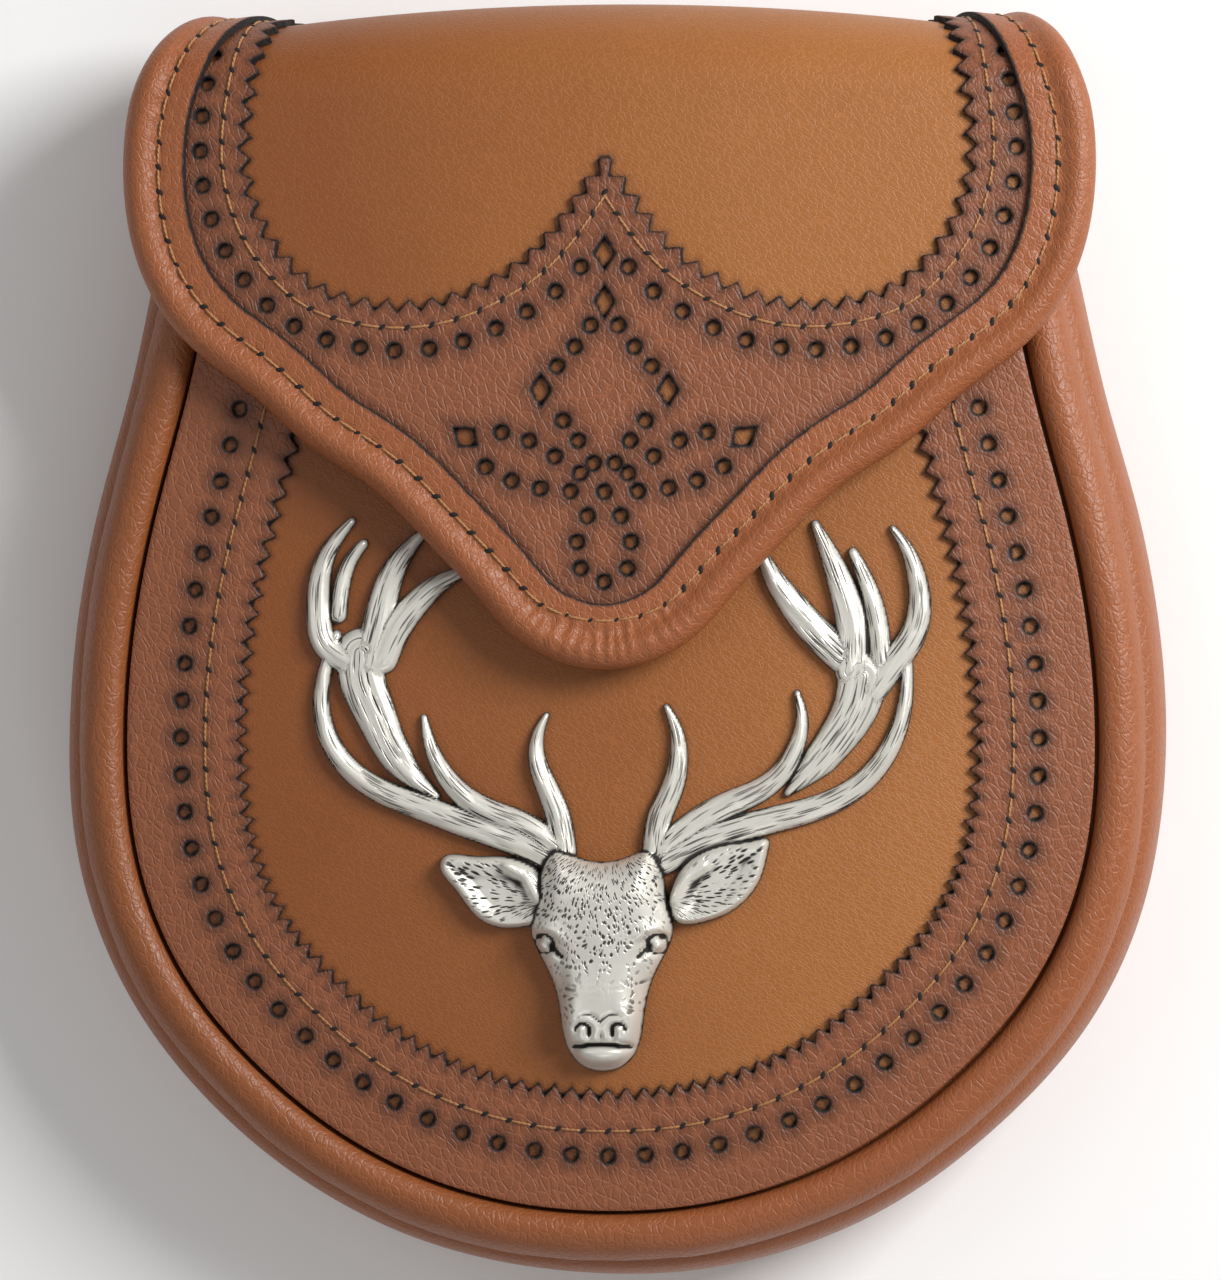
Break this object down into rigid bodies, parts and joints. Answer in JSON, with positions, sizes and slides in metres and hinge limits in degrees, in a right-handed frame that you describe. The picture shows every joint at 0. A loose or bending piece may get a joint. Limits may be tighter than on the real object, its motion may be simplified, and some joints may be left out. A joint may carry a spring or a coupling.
{
  "type": "sporran pouch",
  "caption": "Hollow leather pouch with a folded flap, punched and pinked overlays, padded edges and a cast stag head badge.",
  "frame": {"origin": "bottom centre of the pouch lying on its back, on the surface", "axes": "+Z out of the front panel, +Y towards the fold at the top, +X to the right seen from the front"},
  "size_m": [0.1814, 0.2095, 0.0439],
  "materials": {
    "panel_leather": "satin",
    "grained_leather": "satin",
    "binding_leather": "satin",
    "pewter": "antiqued",
    "stud_metal": "satin"
  },
  "bodies": {
    "root": {"back_panel": "panel_leather", "gusset": "grained_leather", "edge_roll": "grained_leather", "front_panel": "panel_leather", "front_overlay": "grained_leather", "flap_panel": "panel_leather", "flap_overlay": "grained_leather", "flap_binding": "binding_leather", "stag_badge": "pewter", "belt_loop_left": "panel_leather", "belt_loop_right": "panel_leather", "flap_stud": "stud_metal"}
  },
  "joints": []
}
